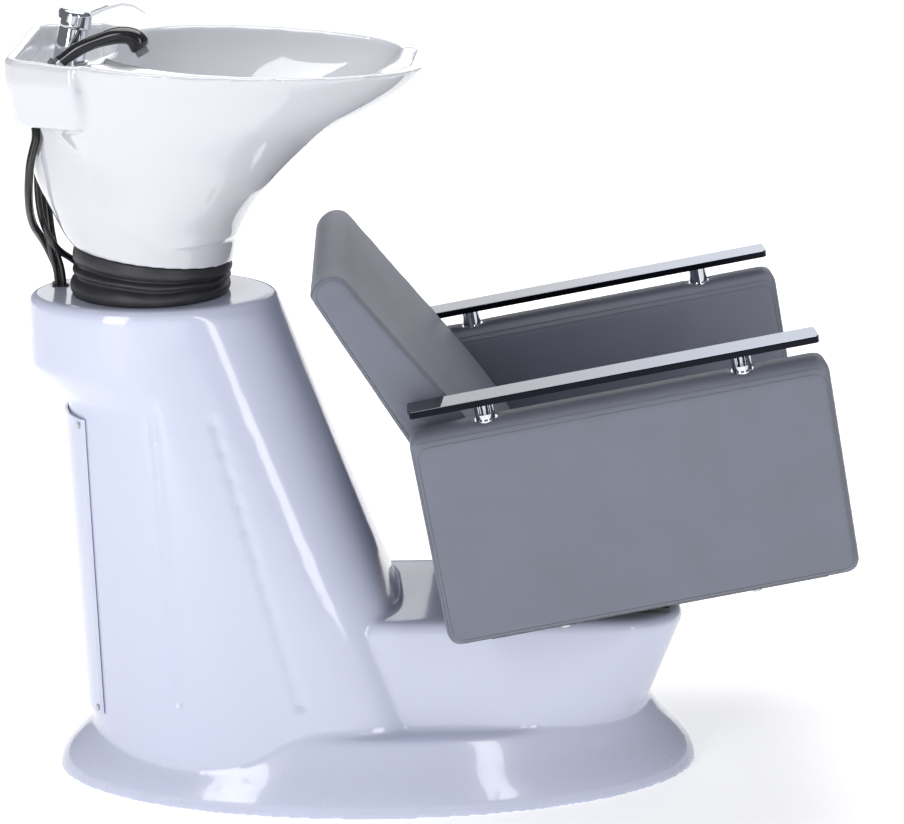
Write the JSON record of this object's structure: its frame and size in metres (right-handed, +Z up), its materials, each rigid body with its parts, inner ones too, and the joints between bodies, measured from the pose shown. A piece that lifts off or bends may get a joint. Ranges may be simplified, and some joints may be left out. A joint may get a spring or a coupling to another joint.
{
  "type": "backwash unit",
  "caption": "Salon backwash unit: tilting ceramic basin with mixer and pull-out spray on a moulded column, joined to a padded shampoo chair with flat polished armrest rails.",
  "frame": {"origin": "centre of the foot on the floor, midway between the four floor anchors", "axes": "+X towards the sitter's knees, +Y to the sitter's left, +Z up"},
  "size_m": [1.1134, 0.56, 1.0901],
  "materials": {
    "moulding": "gloss white glass-fibre moulding",
    "ceramic": "white glaze",
    "upholstery": "mid grey matt leatherette",
    "rubber": "soft black rubber",
    "hose": "smooth black hose",
    "chrome": "polished chrome",
    "black_gloss": "gloss black",
    "grey_plastic": "satin grey",
    "white_plastic": "satin white",
    "frame_steel": "black powder coat",
    "steel": "zinc plated",
    "brass": "machined",
    "plywood": "bare plywood"
  },
  "bodies": {
    "base": {"base_shell": "moulding", "service_panel": "moulding", "seat_cushion": "upholstery", "backrest_cushion": "upholstery", "side_panel_right": "upholstery", "side_panel_left": "upholstery", "bellows": "rubber", "panel_seal": "rubber", "hose_grommets": "rubber", "spray_hose": "hose", "mixer_hose": "hose", "hot_hose": "hose", "cold_hose": "hose", "armrest_rail_right": "chrome", "armrest_rail_left": "chrome", "rail_posts_right": "chrome", "rail_posts_left": "chrome", "waste_hose": "grey_plastic", "bottle_trap": "white_plastic", "waste_spigot": "white_plastic", "floor_plate": "frame_steel", "column_frame": "frame_steel", "head_plate": "frame_steel", "seat_posts": "frame_steel", "tilt_base": "frame_steel", "seat_bracket": "frame_steel", "seat_pan": "frame_steel", "backrest_stays": "frame_steel", "valve_shelf": "frame_steel", "panel_screws": "steel", "tilt_base_bolts": "steel", "tilt_pins": "steel", "tilt_washers": "steel", "chair_bolts": "steel", "stay_screws": "steel", "rail_studs": "steel", "hose_union": "brass", "stop_valves": "brass", "seat_board": "plywood", "backrest_board": "plywood", "side_core_right": "plywood", "side_core_left": "plywood"},
    "basin_unit": {"basin": "ceramic", "tilt_carrier": "frame_steel", "basin_gasket": "rubber", "carrier_bolts": "steel", "drain_strainer": "chrome", "drain_nut": "white_plastic", "mixer_body": "chrome", "mixer_ring": "chrome", "mixer_nut": "brass", "spray_holder": "chrome", "spray_nut": "brass"},
    "mixer_dome": {"mixer_spindle": "chrome", "lever_pin": "steel"},
    "lever": {"mixer_lever": "chrome"},
    "spray_hose_end": {"spray_ferrule": "chrome"},
    "hand_spray": {"spray_handset": "black_gloss", "spray_nozzle": "grey_plastic"},
    "catcher": {"hair_catcher": "chrome"}
  },
  "joints": [
    {"name": "basin_tilt", "type": "hinge", "parent": "base", "child": "basin_unit", "pos_m": [-0.3073, 0, 0.72621], "axis": [0, 1, 0], "range_deg": [-12, 5], "deforming": ["bellows", "waste_hose", "mixer_hose", "hot_hose", "cold_hose"]},
    {"name": "lever_turn", "type": "hinge", "parent": "basin_unit", "child": "mixer_dome", "pos_m": [-0.40132, 0.004, 1.06024], "axis": [0.1736, 0, 0.9848], "range_deg": [-45, 45]},
    {"name": "lever_lift", "type": "hinge", "parent": "mixer_dome", "child": "lever", "pos_m": [-0.40132, 0.004, 1.06024], "axis": [0, -1, 0], "range_deg": [0, 20]},
    {"name": "spray_pull", "type": "slide", "parent": "basin_unit", "child": "spray_hose_end", "axis": [0.7071, 0, 0.7071], "range_m": [0, 0.25], "deforming": ["spray_hose"]},
    {"name": "spray_turn", "type": "hinge", "parent": "spray_hose_end", "child": "hand_spray", "pos_m": [-0.425, -0.037, 1.008], "axis": [0.7071, 0, 0.7071], "range_deg": [-75, 10]},
    {"name": "catcher_lift", "type": "slide", "parent": "basin_unit", "child": "catcher", "axis": [0, 0, 1], "range_m": [0, 0.06]}
  ]
}
